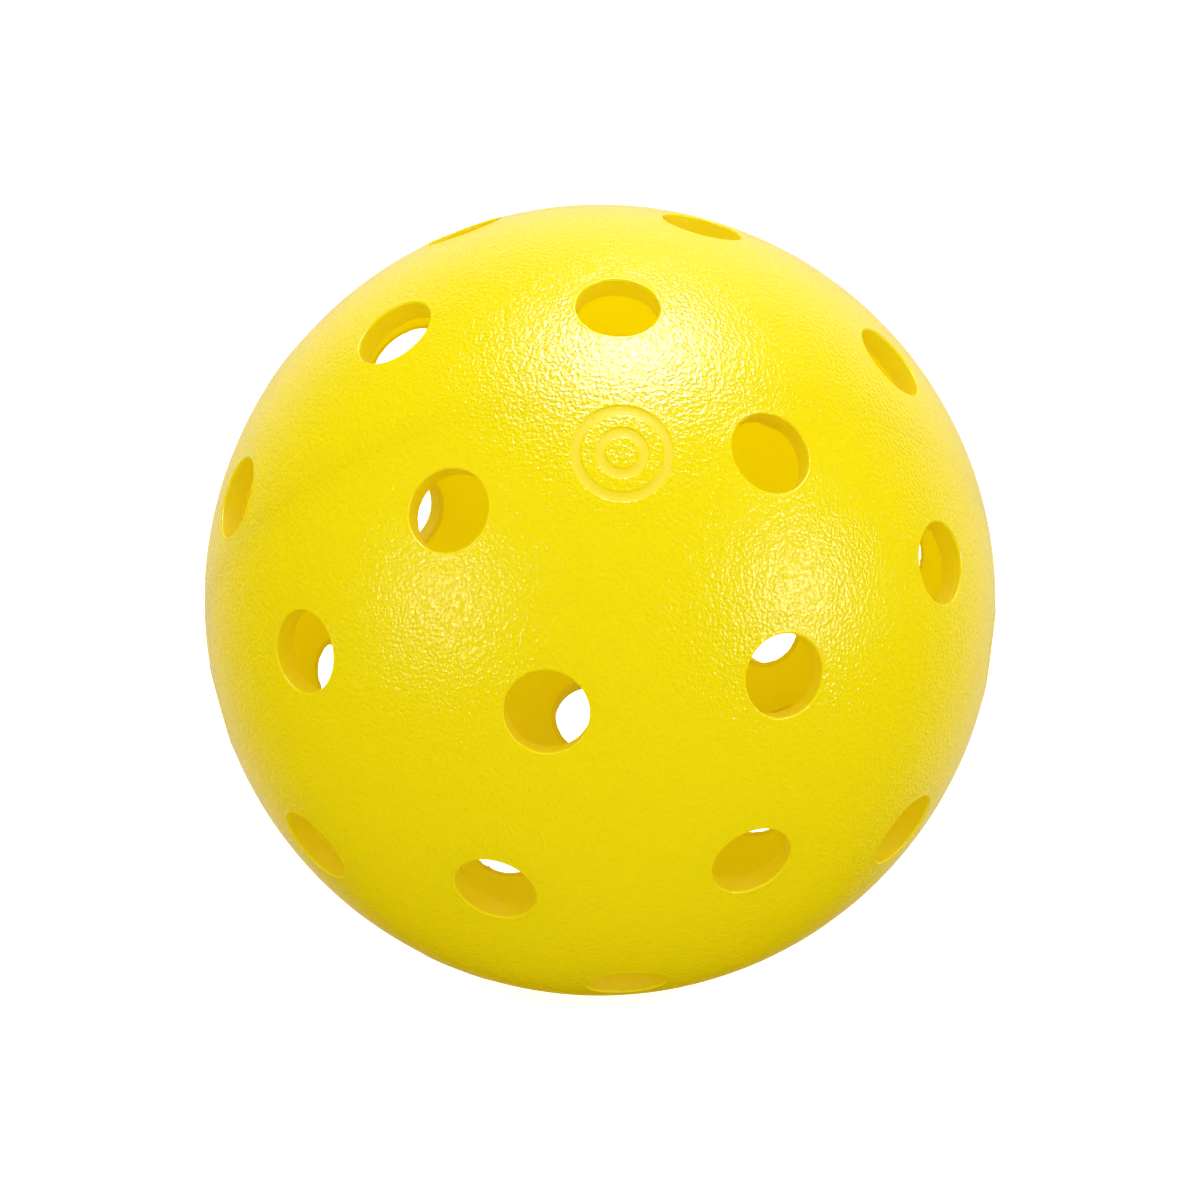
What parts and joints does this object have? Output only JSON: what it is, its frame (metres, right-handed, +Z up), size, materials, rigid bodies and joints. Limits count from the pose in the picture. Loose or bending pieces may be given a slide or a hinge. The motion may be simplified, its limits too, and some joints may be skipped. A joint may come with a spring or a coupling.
{
  "type": "pickleball ball",
  "caption": "Hollow plastic ball for outdoor paddle play, with a lapped and welded shell drilled all over with small round holes.",
  "frame": {"origin": "centre of the ball", "axes": "+X along the two-fold axis of the drilling pattern, -Y through the pole where the drilling spiral starts, +Z up. The weld plane contains X, and its normal leans 35.5 degrees from +Z towards +Y"},
  "size_m": [0.074, 0.074, 0.074],
  "materials": {
    "shell_resin": "bright yellow polyethylene with a fine moulded grain",
    "bead_resin": "the same resin, melted and set again"
  },
  "bodies": {
    "root": {"upper_half_shell": "shell_resin", "lower_half_shell": "shell_resin", "inner_weld_bead": "bead_resin"}
  },
  "joints": []
}
